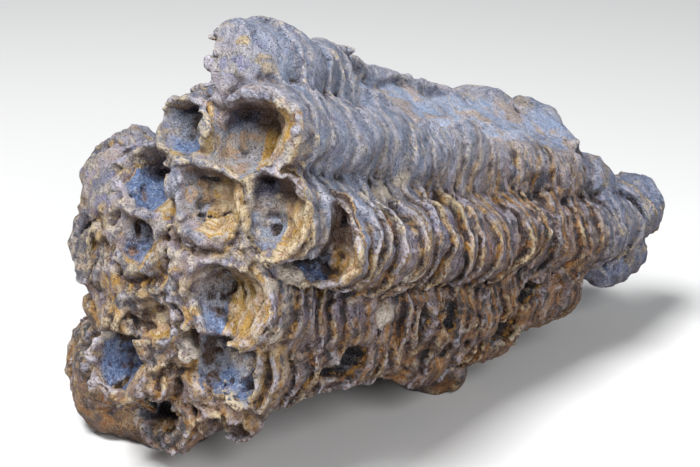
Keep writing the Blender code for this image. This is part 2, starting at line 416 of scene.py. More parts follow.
def stem_place(c, p):
    """(distance behind the face, offset towards the flank, offset upwards) of points from a stem's axis."""
    mouth, root, length = axis_ends(c)
    bow = (c.bow[0], 0.0, c.bow[1])
    t = (p[1] - mouth[1]) / (root[1] - mouth[1])
    for _ in range(2):
        centre = axis_at(c, t)
        growth = [mouth[i] - root[i] - bow[i] * (4 - 8 * t) for i in range(3)]
        size = np.sqrt(growth[0] ** 2 + growth[1] ** 2 + growth[2] ** 2)
        growth = [g / size for g in growth]
        off = [p[i] - centre[i] for i in range(3)]
        ahead = off[0] * growth[0] + off[1] * growth[1] + off[2] * growth[2]
        t = t - ahead / length
    flat = np.sqrt(growth[0] ** 2 + growth[1] ** 2)
    aside = (off[1] * growth[0] - off[0] * growth[1]) / flat
    rise = (off[2] - ahead * growth[2]) / flat
    return t * length, aside, rise


def near_axis(c, p):
    """Indices of the points inside a stem or near its wall."""
    mouth, root, _ = axis_ends(c)
    centre = axis_at(c, (p[1] - mouth[1]) / (root[1] - mouth[1]))
    reach = c.radius * STEM_BULGE + STEM_ROOM
    return np.flatnonzero((p[0] - centre[0]) ** 2 + (p[2] - centre[2]) ** 2 < reach * reach)


def lips_of(number, c):
    """(distances behind the face, strengths) of a stem's rims, the wider apart the stronger."""
    last = c.reach * axis_ends(c)[2]
    rng = np.random.default_rng(RIM_SEED + number)
    lips, strengths = [c.setback], []
    while lips[-1] < last + RIM_PITCHES[1]:
        pitch = RIM_PITCHES[0] + (RIM_PITCHES[1] - RIM_PITCHES[0]) * rng.uniform() ** PITCH_SKEW
        strengths.append(c.relief * pitch / RIM_PITCH * rng.uniform(*STRENGTHS))
        lips.append(lips[-1] + pitch)
    strengths.append(strengths[-1])
    return np.array(lips), np.array(strengths)


LIPS = {name: lips_of(number, c) for number, (name, c) in enumerate(STEMS.items())}


def stem_width(c, p, behind):
    """The distance from a stem's axis to its lips, at points so far behind the face."""
    full = c.radius * (1 - (1 - STEM_TAPER) * np.clip(behind / axis_ends(c)[2], 0, 1))
    full = full * (YOUNG_WIDTH + (1 - YOUNG_WIDTH) * smooth_step(0, YOUNG_LENGTH, behind - c.setback))
    return full * waved(1, p, WIDTH_WAVE)


def stem_wall(c, p):
    """(distance to the smooth stem, depth of its grooves, phase from lip to lip, place among the lips)."""
    behind, aside, rise = stem_place(c, p)
    length = axis_ends(c)[2]
    lips, strengths = LIPS[c.name]
    across = np.sqrt(aside**2 + rise**2)
    full = stem_width(c, p, behind)
    turn = lips[1] * RIM_TILT_TURN
    askew = RIM_TILT * (aside * math.sin(turn) + rise * math.cos(turn))
    along = behind + askew + RIM_FLARE * np.clip(across - full + RIM_RELIEF, *RIM_FLARE_REACH)

    count = np.interp(along, lips, np.arange(len(lips)))
    lip = np.minimum(count.astype(np.int32), len(lips) - 1)
    phase = count - lip
    drawn = np.power(np.clip(phase / GROOVE_PLACE, 0, 1), GROOVE_CURVE)
    drawn = drawn * (1 - smooth_step(GROOVE_PLACE, 1.0, phase))
    grooves = RIM_RELIEF * strengths[lip] * waved(GROOVE_MEAN, p, GROOVE_WAVE) * drawn
    line = along / LINE_PITCH
    line = line - np.floor(line)
    line = LINE_RELIEF * c.relief * line * (1 - smooth_step(LINE_PLACE, 1.0, line))
    grooves = grooves + line * (along > c.setback)
    grooves = grooves * (1 - (1 - TIP_RELIEF) * smooth_step(*TIP_SMOOTH, behind))

    dome = (across / c.radius) ** 2
    blend = MOUTH_BLEND[0] + MOUTH_BLEND[1] * c.front
    wall = smooth_max(across - full - WALL_OUTSET, c.setback - behind + c.front * dome, blend)
    last = c.reach * length + ROOT_OVERRUN * c.radius
    return smooth_max(wall, behind - last + ROOT_DOME * dome, ROOT_BLEND), grooves, phase, along


def hollow_at(h, p):
    """(distance to the wall of a cup's hollow, share of its depth, place across and up it from -1 to 1)."""
    c = STEMS[h.stem]
    behind, aside, rise = stem_place(c, p)
    into = behind - c.setback
    share = np.clip(waved(into / h.depth, p, CUP_WAVE), 0, 1)
    share = stairs(share * CUP_STEPS, CUP_RISER) / CUP_STEPS
    outline = [h.mouth[i] + (h.floor[i] - h.mouth[i]) * share for i in range(4)]
    a, b = aside - outline[0], rise - outline[1]
    turn = math.radians(h.turn)
    u = np.abs(a * math.cos(turn) + b * math.sin(turn)) / outline[2]
    v = np.abs(b * math.cos(turn) - a * math.sin(turn)) / outline[3]
    round_off = np.power(u**CUP_SQUARENESS + v**CUP_SQUARENESS, 1 / CUP_SQUARENESS)
    wall = (round_off - 1) * np.minimum(outline[2], outline[3])
    field = smooth_max(wall, CUP_FLOOR_LEAN * (into - h.depth), CUP_FLOOR_BLEND)
    return np.maximum(field, -(into + CUP_CLEARANCE)), into / h.depth, a / outline[2], b / outline[3]


def near_mouth(h, p):
    """Indices of the points in or near a cup's hollow."""
    c = STEMS[h.stem]
    mouth, _, _ = axis_ends(c)
    aside, behind = MOUTH_ROOM
    flat = (p[0] - mouth[0]) ** 2 + (p[2] - mouth[2]) ** 2 < aside**2
    return np.flatnonzero(flat & (p[1] < mouth[1] + c.setback + h.depth + behind))


def blob_field(blob, p):
    """Distance to a lump, near enough."""
    q = [(p[i] - blob.centre[i]) / blob.half[i] for i in range(3)]
    return (np.sqrt(q[0] ** 2 + q[1] ** 2 + q[2] ** 2) - 1) * min(blob.half)


def matrix_planes():
    """(normal, offset) of each face of the hull of the long stems' axes, a little short of the cups."""
    bm = bmesh.new()
    corners = []
    for c in CORALLITES:
        if c.reach >= MATRIX_REACH:
            first = (c.setback + MATRIX_SETBACK) / axis_ends(c)[2]
            for share in (0.0, 0.5, 1.0):
                corners.append(bm.verts.new(axis_at(c, first + share * (c.reach - first))))
    bmesh.ops.convex_hull(bm, input=corners)
    bm.normal_update()
    planes = [(tuple(f.normal), f.normal.dot(f.verts[0].co)) for f in bm.faces]
    bm.free()
    return planes


PLANES = matrix_planes()


def matrix_field(p):
    """Distance to the rock between the stems."""
    field = None
    for normal, offset in PLANES:
        side = p[0] * normal[0] + p[1] * normal[1] + p[2] * normal[2] - offset
        field = side if field is None else np.maximum(field, side)
    return field


def plate_at(p):
    """(height over the chalky plate, distance outside its edge) of points."""
    behind, aside, rise = stem_place(STEMS["shoulder"], p)
    along = (behind - PLATE_MIDDLE[0]) / PLATE_HALF[0]
    over = (aside - PLATE_MIDDLE[1]) / PLATE_HALF[1]
    height = waved(rise - PLATE_HEIGHT + PLATE_SLOPE * aside, p, *PLATE_WAVES)
    edge = (np.sqrt(np.abs(along) ** 3 + over**2) - 1) * PLATE_HALF[1]
    return height, waved(edge, p, PLATE_EDGE_WAVE)


def tip_bands(p):
    """Shallow bands round the tip, uneven in width."""
    place = waved(p[1] + BAND_TILT * p[2], p, BAND_WAVE) / BAND_PITCH
    part = place - np.floor(place)
    return smooth_step(*BAND_START, p[1]) * part * (1 - smooth_step(LINE_PLACE, 1.0, part))


def uncut_field(p):
    """Distance to the stone of warped points, before it is roughened and before the pits."""
    field = waved(matrix_field(p), p, MATRIX_WAVE)
    for blob in LUMPS:
        field = smooth_min(field, blob_field(blob, p), blob.blend)
    field += BAND_RELIEF * tip_bands(p)
    relief = np.zeros_like(field)
    weight = np.full_like(field, 1e-6)
    nearest = np.full_like(field, FAR)
    for c in CORALLITES:
        near = near_axis(c, p)
        if near.size:
            wall, grooves, _, _ = stem_wall(c, [axis[near] for axis in p])
            field[near] = smooth_min(field[near], wall, WEB)
            share = np.exp(-np.clip(wall, -8, 12) / STEM_HOLD)
            relief[near] += share * grooves
            weight[near] += share
            nearest[near] = np.minimum(nearest[near], wall)
    field += relief / weight * smooth_step(*RIM_REACH, nearest)
    height, edge = plate_at(p)
    plate = np.maximum(np.maximum(height, edge + PLATE_INSET), -height - PLATE_DEPTH)
    field = smooth_min(field, plate, PLATE_BLEND)
    field = smooth_max(field, -np.maximum(-height, edge), PLATE_EDGE_BLEND)
    for h in HOLLOWS:
        near = near_mouth(h, p)
        if near.size:
            hollow = hollow_at(h, [axis[near] for axis in p])[0]
            field[near] = smooth_max(field[near], -hollow, CUP_EDGE_BLEND)
    near = near_axis(BROW, p)
    if near.size:
        there = [axis[near] for axis in p]
        wall, grooves, _, _ = stem_wall(BROW, there)
        young = smooth_min(field[near], wall + grooves, YOUNG_BLEND)
        hollow = hollow_at(BROW_HOLLOW, there)[0]
        field[near] = smooth_max(young, -hollow, CUP_EDGE_BLEND)
    return field


def coral_field(p):
    """Distance to the stone of warped points, with its pits and flakes, before it is roughened."""
    field = uncut_field(p)
    for blob in PITS:
        field = smooth_max(field, -blob_field(blob, p), PIT_BLEND)
    for blob in NODULES:
        field = smooth_min(field, blob_field(blob, p), NODULE_BLEND)
    return field


def roughness(p):
    """How rough the stone is, from 0 to 1: the face and the underside most, the flank's bands least."""
    face = smooth_step(*ROUGH_FACE, p[1])
    under = smooth_step(*ROUGH_UNDER, p[2] + 0.15 * p[1])
    patch = smooth_step(-0.1, 0.5, noise(p, 13, 9))
    rough = np.clip(0.25 + 0.6 * np.maximum(face, under) + 0.55 * patch, 0, 1)
    height, edge = plate_at(p)
    rough = rough * (1 - 0.8 * smooth_step(3.0, 0.0, np.abs(height)) * smooth_step(2.0, -1.0, edge))
    rough = rough * (1 - 0.6 * smooth_step(*SMOOTH_TIP, p[1])) * (1 - 0.4 * smooth_step(*SMOOTH_PEAK, p[2]))
    return rough * (1 - 0.6 * smooth_step(*SMOOTH_GROUND, p[2]))


def rock(p):
    """The whole block as a field that is negative inside the stone."""
    p = [axis.astype(np.float32) for axis in p]
    field = coral_field(warp(p))
    rough = roughness(p)
    crumbs = noise(p, 3.1, 10)
    grain = waved(0, p, *GRAINS)
    cracks = CRACK_DEPTH * smooth_step(CRACK_WIDTH, 0.0, np.abs(noise(p, 6.0, 9)))
    relief = grain + cracks + CRUMB_RELIEF * crumbs - CRUMB_GROWTH * np.clip(crumbs - CRUMB_TALL, 0, 1)
    field = field + rough * relief + GRAIN_EVERYWHERE * grain
    return np.maximum(field, -p[2])


def grid_axes():
    """The grid's places along x, y and z, in whole blocks."""
    axes = []
    for low, high in zip(GRID_LOW, GRID_HIGH):
        count = BLOCK * math.ceil((high - low) / CELL / BLOCK)
        axes.append(np.float32(low) + np.float32(CELL) * np.arange(count, dtype=np.float32))
    return axes


def evaluated(points):
    """The field at many points, worked out in batches side by side."""
    count = len(points[0])
    batches = np.array_split(np.arange(count), max(WORKERS, count // BATCH))
    with ThreadPoolExecutor(WORKERS) as pool:
        parts = list(pool.map(lambda rows: rock([axis[rows] for axis in points]), batches))
    return np.concatenate(parts)


def sampled(axes):
    """The field on the grid: coarsely everywhere, and at every corner in the blocks near the surface."""
    middles = [axis[BLOCK // 2 :: BLOCK] for axis in axes]
    x, y, z = np.meshgrid(*middles, indexing="ij")
    coarse = evaluated([x.ravel(), y.ravel(), z.ravel()]).reshape(x.shape)
    field = coarse
    for axis in range(3):
        field = np.repeat(field, BLOCK, axis=axis)
    field = np.ascontiguousarray(field, dtype=np.float32)
    near = np.argwhere(np.abs(field) < NEAR_SURFACE)
    points = [axes[i][near[:, i]] for i in range(3)]
    field[tuple(near.T)] = evaluated(points)
    return field


def surface(field, axes):
    """(points, quads) of the surface where the field is 0, one point in each cell that it crosses."""
    inside = field < 0
    corners = [(i, j, k) for i in (0, 1) for j in (0, 1) for k in (0, 1)]
    nx, ny, nz = (n - 1 for n in field.shape)
    count = np.zeros((nx, ny, nz), np.int8)
    for i, j, k in corners:
        count += inside[i : nx + i, j : ny + j, k : nz + k]
    cells = np.argwhere((count > 0) & (count < 8))
    number = np.full((nx, ny, nz), -1, np.int32)
    number[tuple(cells.T)] = np.arange(len(cells))
    values = {c: field[tuple((cells + c).T)] for c in corners}
    total = np.zeros((len(cells), 3), np.float32)
    crossings = np.zeros(len(cells), np.float32)
    for a in corners:
        for axis in range(3):
            if a[axis] == 0:
                b = tuple(v + (i == axis) for i, v in enumerate(a))
                va, vb = values[a], values[b]
                crossed = (va < 0) != (vb < 0)
                share = np.where(crossed, va / np.where(crossed, va - vb, 1), 0)
                at = np.array(a, np.float32) + np.zeros((len(cells), 3), np.float32)
                at[:, axis] += share
                total += at * crossed[:, None]
                crossings += crossed
    low = np.array([axis[0] for axis in axes], np.float32)
    points = (cells + total / crossings[:, None]) * CELL + low
    quads = []
    for axis in range(3):
        u, v = (axis + 1) % 3, (axis + 2) % 3
        changed = inside != np.roll(inside, -1, axis=axis)
        at = np.argwhere(changed)
        keep = (at[:, axis] < field.shape[axis] - 1) & (at[:, u] > 0) & (at[:, v] > 0)
        keep &= (at[:, u] < field.shape[u] - 1) & (at[:, v] < field.shape[v] - 1)
        at = at[keep]
        ring = []
        for du, dv in ((-1, -1), (0, -1), (0, 0), (-1, 0)):
            cell = at.copy()
            cell[:, u] += du
            cell[:, v] += dv
            ring.append(number[tuple(cell.T)])
        quad = np.stack(ring, 1)
        flip = ~inside[tuple(at.T)]
        quad[flip] = quad[flip][:, ::-1]
        quads.append(quad)
    return points, np.concatenate(quads)


def main_piece(quads):
    """Which quads belong to the one large piece, joined side to side, not to a loose crumb beside it."""
    sides = np.sort(np.stack([quads, np.roll(quads, -1, axis=1)], 2).reshape(-1, 2), axis=1)
    order = np.lexsort((sides[:, 1], sides[:, 0]))
    sides = sides[order]
    first = np.flatnonzero(np.r_[True, (sides[1:] != sides[:-1]).any(axis=1)])
    shared = first[np.diff(np.r_[first, len(sides)]) == 2]
    near, far = order[shared] // 4, order[shared + 1] // 4
    label = np.arange(len(quads))
    settled = False
    while not settled:
        before = label.copy()
        low = np.minimum(label[near], label[far])
        np.minimum.at(label, near, low)
        np.minimum.at(label, far, low)
        label = label[label]
        settled = np.array_equal(label, before)
    return label == np.bincount(label).argmax()


def to_metres(points):
    return (points - np.array(FOOTPRINT_CENTRE)) * MM


def to_layout(places):
    return places / MM + np.array(FOOTPRINT_CENTRE)


def mesh_from(name, points, quads):
    mesh = bpy.data.meshes.new(name)
    mesh.vertices.add(len(points))
    mesh.vertices.foreach_set("co", points.astype(np.float32).ravel())
    mesh.loops.add(quads.size)
    mesh.loops.foreach_set("vertex_index", quads.astype(np.int32).ravel())
    mesh.polygons.add(len(quads))
    mesh.polygons.foreach_set("loop_start", np.arange(0, quads.size, 4, dtype=np.int32))
    mesh.update(calc_edges=True)
    mesh.validate()
    return mesh


def linked(name, data):
    """A new object in the scene."""
    made = bpy.data.objects.new(name, data)
    bpy.context.scene.collection.objects.link(made)
    return made


def thinned(mesh, triangles):
    """The mesh with its flattest faces merged until it has about that many triangles."""
    holder = linked("holder", mesh)
    thin = holder.modifiers.new("Thin", "DECIMATE")
    thin.ratio = triangles / (2 * len(mesh.polygons))
    graph = bpy.context.evaluated_depsgraph_get()
    made = bpy.data.meshes.new_from_object(holder.evaluated_get(graph))
    bpy.data.objects.remove(holder)
    return made


def stone_share(field, axes, size, points):
    """Share of stone in a cube of about that size round each point: high in hollows, low on knobs."""
    solid = (field < 0).astype(np.float32)
    half = max(1, round(size / CELL / 2))
    for axis in range(3):
        running = np.cumsum(solid, axis=axis)
        ahead = np.roll(running, -half, axis=axis)
        behind = np.roll(running, half + 1, axis=axis)
        solid = (ahead - behind) / (2 * half + 1)
    at = [np.rint((points[:, i] - axes[i][0]) / CELL).astype(int) for i in range(3)]
    return solid[tuple(np.clip(at[i], 0, len(axes[i]) - 1) for i in range(3))]


def stem_marks(p):
    """(distance to the nearest stem, phase between its lips, place among them) of warped points."""
    nearest = np.full(len(p[0]), FAR, np.float32)
    phase = np.zeros_like(nearest)
    growth = np.zeros_like(nearest)
    for name, c in STEMS.items():
        wall, _, where, along = stem_wall(c, p)
        wall = wall - (BROW_LEAD if name == BROW.name else 0.0)
        closer = wall < nearest
        nearest[closer] = wall[closer]
        phase[closer] = where[closer]
        growth[closer] = along[closer]
    return nearest, phase, growth


def cup_marks(p):
    """Where in a cup warped points are, and that cup's colours and the strength of its painted shade, by
    name: 0 outside the cups.
    """
    names = ("depth", "aside", "up", "bed", "blue", "dark")
    found = {name: np.zeros(len(p[0]), np.float32) for name in names}
    for h in HOLLOWS + (BROW_HOLLOW,):
        wall, share, aside, up = hollow_at(h, p)
        depth = np.clip(share, 0, 1) * min(1.0, h.depth / FULL_DEPTH)
        inside = (wall < CUP_PAINT_ROOM) & (share > CUP_PAINT_SHARES[0]) & (share < CUP_PAINT_SHARES[1])
        deeper = inside & (depth > found["depth"])
        bed = smooth_step(2 * h.bed - 0.8, 2 * h.bed - 1.2, aside)
        for name, values in (("depth", depth), ("aside", aside), ("up", up), ("bed", bed)):
            found[name][deeper] = values[deeper]
        found["blue"][deeper] = h.blue
        found["dark"][deeper] = h.dark
    return found


def marks(points):
    """What the surface is at each point, by name, each from 0 to 1 save the growth, in millimetres."""
    p = warp([points[:, i].astype(np.float32) for i in range(3)])
    nearest, phase, growth = stem_marks(p)
    in_cup = cup_marks(p)
    held = smooth_step(*HELD, nearest) * (1 - smooth_step(0.0, 0.15, in_cup["depth"]))
    flake = np.full(len(points), FAR, np.float32)
    for blob in NODULES:
        flake = np.minimum(flake, blob_field(blob, p))
    height, edge = plate_at(p)
    return {
        "growth": growth,
        "lip": held * np.maximum(smooth_step(0.2, 0.02, phase), smooth_step(0.95, 1.0, phase)),
        "groove": held * smooth_step(0.45, 0.85, phase) * smooth_step(1.0, 0.95, phase),
        "held": held,
        "cup": in_cup["depth"],
        "flankward": np.clip(0.5 + 0.5 * in_cup["aside"], 0, 1),
        "upward": np.clip(0.5 + 0.5 * in_cup["up"], 0, 1),
        "blue": in_cup["blue"],
        "dark": in_cup["dark"],
        "bed": in_cup["bed"],
        "chalk": smooth_step(2.5, -1.0, np.abs(height)) * smooth_step(2.0, -1.5, edge),
        "pale": smooth_step(1.0, 0.2, flake),
        "sunk": smooth_step(*SUNK, uncut_field(p)),
        "face": smooth_step(*FACE_STARTS, points[:, 1]),
        "tip": smooth_step(*TIP_STARTS, points[:, 1]),
    }


def vertex_values(mesh, name):
    """A vector of each vertex, such as its place."""
    values = np.empty(len(mesh.vertices) * 3, np.float32)
    mesh.vertices.foreach_get(name, values)
    return values.reshape(-1, 3)


def build_coral():
    """The whole block as one mesh, with its marks as attributes."""
    axes = grid_axes()
    field = sampled(axes)
    points, quads = surface(field, axes)
    quads = quads[main_piece(quads)]
    mesh = thinned(mesh_from("coral_skin", to_metres(points), quads), TRIANGLES)
    mesh.shade_smooth()
    place = to_layout(vertex_values(mesh, "co"))
    painted = marks(place)
    for name, (side, none, full) in CUBES.items():
        painted[name] = smooth_step(none, full, stone_share(field, axes, side, place))
    # How far each point faces down, which carries the painted shade on the undersides
    painted["under"] = smooth_step(0.15, -0.75, vertex_values(mesh, "normal")[:, 2])
    painted["level"] = place[:, 2] / LEVEL_HEIGHT
    for name, values in painted.items():
        mesh.attributes.new(name, "FLOAT", "POINT").data.foreach_set("value", values.astype(np.float32))
    return linked("coral_stone", mesh)


class Nodes:
    """A material's node tree, built up from short calls that return sockets."""

    def __init__(self, material):
        material.use_nodes = True
        self.tree = material.node_tree
        self.shader = self.tree.nodes["Principled BSDF"]
        self.place = self.tree.nodes.new("ShaderNodeTexCoord").outputs["Object"]

    def feed(self, socket, value):
        if isinstance(value, bpy.types.NodeSocket):
            self.tree.links.new(value, socket)
        else:
            socket.default_value = value

    def attribute(self, name):
        node = self.tree.nodes.new("ShaderNodeAttribute")
        node.attribute_name = name
        return node.outputs["Fac"]

    def attributes(self, *names):
        return [self.attribute(name) for name in names]

    def noise(self, size, detail, twist=0.0, shift=0.0):
        """Noise from 0 to 1 with features of that many millimetres."""
        mapping = self.tree.nodes.new("ShaderNodeMapping")
        mapping.inputs["Location"].default_value = (shift, shift * 0.7, shift * 1.3)
        self.feed(mapping.inputs["Vector"], self.place)
        node = self.tree.nodes.new("ShaderNodeTexNoise")
        self.feed(node.inputs["Vector"], mapping.outputs["Vector"])
        node.inputs["Scale"].default_value = 1 / (size * MM)
        node.inputs["Detail"].default_value = detail
        node.inputs["Distortion"].default_value = twist
        return node.outputs["Fac"]

    def specks(self, size):
        """Distance to the nearest of many scattered points, over their spacing."""
        node = self.tree.nodes.new("ShaderNodeTexVoronoi")
        self.feed(node.inputs["Vector"], self.place)
        node.inputs["Scale"].default_value = 1 / (size * MM)
        return node.outputs["Distance"]

    def bands(self, size):
        """Noise from 0 to 1 that runs round the stems, with bands of that many millimetres."""
        node = self.tree.nodes.new("ShaderNodeTexNoise")
        node.noise_dimensions = "1D"
        self.feed(node.inputs["W"], self.attribute("growth"))
        node.inputs["Scale"].default_value = 1 / size
        node.inputs["Detail"].default_value = 4.0
        return node.outputs["Fac"]

    def both(self, *shares):
        """The product of some shares."""
        total = shares[0]
        for share in shares[1:]:
            total = self.math("MULTIPLY", total, share)
        return total

    def math(self, operation, a, b=0.0):
        node = self.tree.nodes.new("ShaderNodeMath")
        node.operation = operation
        self.feed(node.inputs[0], a)
        self.feed(node.inputs[1], b)
        return node.outputs[0]

    def step(self, value, low, high):
        """0 below low, 1 above high, and smooth between; low may be the greater."""
        node = self.tree.nodes.new("ShaderNodeMapRange")
        node.interpolation_type = "SMOOTHSTEP"
        rising = low < high
        self.feed(node.inputs["Value"], value)
        node.inputs["From Min"].default_value = low if rising else high
        node.inputs["From Max"].default_value = high if rising else low
        node.inputs["To Min"].default_value = 0.0 if rising else 1.0
        node.inputs["To Max"].default_value = 1.0 if rising else 0.0
        return node.outputs["Result"]

    def mix(self, below, above, share, blend="MIX"):
        node = self.tree.nodes.new("ShaderNodeMix")
        node.data_type = "RGBA"
        node.blend_type = blend
        self.feed(node.inputs[0], share)
        for socket, colour in ((node.inputs[6], below), (node.inputs[7], above)):
            self.feed(socket, colour if isinstance(colour, bpy.types.NodeSocket) else (*colour, 1.0))
        return node.outputs[2]

    def deepened(self, colour, power):
        """The colour, darker and more saturated."""
        node = self.tree.nodes.new("ShaderNodeGamma")
        self.feed(node.inputs["Color"], colour)
        node.inputs["Gamma"].default_value = power
        return node.outputs["Color"]

    def bump(self, height, depth, under=None):
        """Normals tilted by a height from 0 to 1, over that many millimetres."""
        node = self.tree.nodes.new("ShaderNodeBump")
        node.inputs["Distance"].default_value = depth * MM
        self.feed(node.inputs["Height"], height)
        if under is not None:
            self.feed(node.inputs["Normal"], under)
        return node.outputs["Normal"]


# Colours of the weathered stone
SLATE = (0.115, 0.125, 0.17)
BLUE_GREY = (0.32, 0.37, 0.47)
LILAC = (0.33, 0.29, 0.40)
ROSE_GREY = (0.46, 0.35, 0.33)
PALE = (0.66, 0.63, 0.72)
CHALK = (0.48, 0.62, 0.88)
CREAM = (0.80, 0.65, 0.42)
SAND = (0.47, 0.37, 0.25)
TAN = (0.58, 0.38, 0.20)
OCHRE = (0.62, 0.37, 0.06)
RUST = (0.32, 0.13, 0.015)
UMBER = (0.085, 0.036, 0.010)
SOOT = (0.012, 0.010, 0.012)
DEEP_BLUE = (0.02, 0.04, 0.14)
BLUE = (0.14, 0.25, 0.49)
BROWN_CAST = (0.82, 0.68, 0.48)  # of the stone near the ground
SKY_CAST = (0.95, 1.0, 1.08)  # of the bare stone on top


class StoneNodes(Nodes):
    """The stone's colour, layer by layer, with the noises and zones that the layers are laid on by."""

    def __init__(self, material):
        super().__init__(material)
        self.broad = self.noise(18, 4, 0.6)
        self.patch = self.noise(7, 5, 0.4, shift=1.0)
        self.mottle = self.noise(2.4, 6, 0.2, shift=2.0)
        self.grain = self.noise(0.8, 5, shift=3.0)
        self.fine = self.noise(0.32, 3, shift=4.0)
        self.rusty = self.noise(8, 5, 0.5, shift=5.0)
        self.band = self.bands(2.6)
        self.face, self.tip, self.held = self.attributes("face", "tip", "held")
        self.level, self.cavity, self.valley = self.attributes("level", "cavity", "valley")
        self.ringed = self.math("MAXIMUM", self.held, self.tip)
        self.high = self.math("MAXIMUM", self.step(self.level, 0.5, 0.68), self.step(self.tip, 0.3, 0.9))
        self.low_down = self.step(self.level, 0.74, 0.44)
        warm = self.both(self.step(self.level, 0.74, 0.5), self.step(self.tip, 1.2, 0.2))
        warm = self.both(self.math("MAXIMUM", warm, self.both(self.face, 0.7)), 0.75)
        self.warm = self.math("ADD", warm, 0.25)
        self.colour = self.mix(SLATE, ROSE_GREY, self.step(self.broad, 0.42, 0.58))

    def paint(self, above, *shares):
        """Lay a colour over those so far, as strongly as the product of the shares."""
        self.colour = self.mix(self.colour, above, self.both(*shares))


def bare_stone(n):
    """Grey and lilac, in bands along the flank, with less ochre high up and at the tip."""
    lilac = n.mix(LILAC, SAND, n.both(n.face, n.step(n.mottle, 0.40, 0.5)))
    n.paint(lilac, n.step(n.patch, 0.44, 0.56))
    n.paint(SLATE, n.ringed, n.step(n.band, 0.47, 0.40), 0.85)
    n.paint(BLUE_GREY, n.high, n.step(n.mottle, 0.26, 0.44), n.step(n.face, 1.6, 0.0), 0.9)
    n.paint(TAN, n.ringed, n.step(n.band, 0.57, 0.66), n.warm, 0.6)
    paler = n.mix(PALE, CREAM, n.both(n.face, 0.6))
    n.paint(paler, n.step(n.mottle, 0.48, 0.60), n.step(n.high, 1.7, 0.0), 0.8)
    stained = n.both(n.step(n.rusty, 0.53, 0.60), n.step(n.mottle, 0.36, 0.5), n.warm)
    n.paint(OCHRE, stained, n.step(n.both(n.held, n.level), 0.5, 0.1), 0.9)


def soil_and_lips(n):
    """Soil in the grooves, and lips in ochre and cream, worn pale in places, partly as painted highlight.
    """
    earth = n.mix(UMBER, OCHRE, n.step(n.mottle, 0.46, 0.60))
    n.paint(earth, n.attribute("groove"), n.step(n.rusty, 0.36, 0.46), n.warm)
    ochre_lip = n.mix(OCHRE, CREAM, n.step(n.mottle, 0.48, 0.62))
    greyed = n.math("MAXIMUM", n.step(n.patch, 0.54, 0.62), n.both(n.high, 0.8))
    # The pale blue-grey on the lips is partly wear and partly painted highlight
    worn_and_highlit_lip = n.mix(ochre_lip, n.mix(PALE, BLUE_GREY, 0.4), greyed)
    n.paint(worn_and_highlit_lip, n.attribute("lip"), n.step(n.face, 0.8, 0.2), n.step(n.mottle, 0.28, 0.42))


def browner_low_down(n):
    """A brown cast near the ground, and a bluish one on top."""
    sky = n.step(n.math("ADD", n.level, n.both(n.broad, 0.3)), 0.34, 0.86)
    sky = n.math("MAXIMUM", sky, n.step(n.tip, 0.3, 1.0))
    n.colour = n.mix(n.colour, n.mix(BROWN_CAST, SKY_CAST, sky), 1.0, "MULTIPLY")


def cup_floor(n, upward):
    """Granular grey stone, with sand in patches, and blue where the cup has it."""
    blue = n.attribute("blue")
    granular = n.mix(SLATE, BLUE_GREY, n.step(n.mottle, 0.35, 0.55))
    granular = n.mix(granular, PALE, n.both(n.step(n.fine, 0.5, 0.7), 0.6))
    granular = n.mix(granular, SAND, n.both(n.step(n.patch, 0.46, 0.56), 0.6))
    azure = n.mix(BLUE, DEEP_BLUE, n.step(n.mottle, 0.46, 0.34))
    azure = n.mix(azure, CHALK, n.both(n.step(n.grain, 0.54, 0.68), 0.8))
    blueness = n.math("ADD", n.both(blue, 0.35), n.both(n.patch, 0.7))
    blueness = n.math("SUBTRACT", n.math("ADD", blueness, 0.35), n.both(upward, 0.35))
    bluish = n.mix(granular, azure, n.step(blueness, 0.68, 0.84))
    brownish = n.mix(TAN, granular, n.step(n.mottle, 0.4, 0.55))
    return n.mix(brownish, bluish, n.step(blue, 0.0, 0.3))


def cups(n):
    """Ochre terraces towards the flank, a blue-grey floor, and painted shade under the upper edge."""
    cup, bed, dark, upward, flankward = n.attributes("cup", "bed", "dark", "upward", "flankward")
    terrace = n.math("FRACT", n.math("ADD", n.both(cup, 5.0), n.both(n.broad, 2.0)))
    ledge = n.mix(TAN, CREAM, n.step(n.mottle, 0.44, 0.6))
    ledge = n.mix(ledge, OCHRE, n.step(terrace, 0.55, 0.8))
    n.paint(ledge, n.step(cup, 0.02, 0.12), n.step(bed, 0.6, 0.2), 0.95)
    n.paint(cup_floor(n, upward), n.step(cup, 0.15, 0.45), n.step(bed, 0.3, 0.7), 0.9)
    # Painted shade: umber to blue-black under a cup's upper edge, over all of the cup where its dark value
    # is above 1
    overhang = n.math("ADD", upward, n.math("MAXIMUM", n.math("SUBTRACT", dark, 1.0), 0.0))
    shade = n.both(n.step(cup, 0.2, 0.6), n.step(overhang, 0.62, 0.88), n.math("MINIMUM", dark, 1.0))
    shade_colour = n.mix(UMBER, n.mix(SOOT, DEEP_BLUE, 0.4), n.step(flankward, 0.55, 0.35))
    n.paint(shade_colour, shade, 0.95)


def chalky_plate(n):
    chalky = n.mix(CHALK, n.mix(PALE, TAN, 0.6), n.step(n.patch, 0.53, 0.58))
    chalky = n.mix(chalky, PALE, n.both(n.step(n.grain, 0.50, 0.62), 0.6))
    n.paint(chalky, n.attribute("chalk"), n.step(n.mottle, 0.20, 0.42))


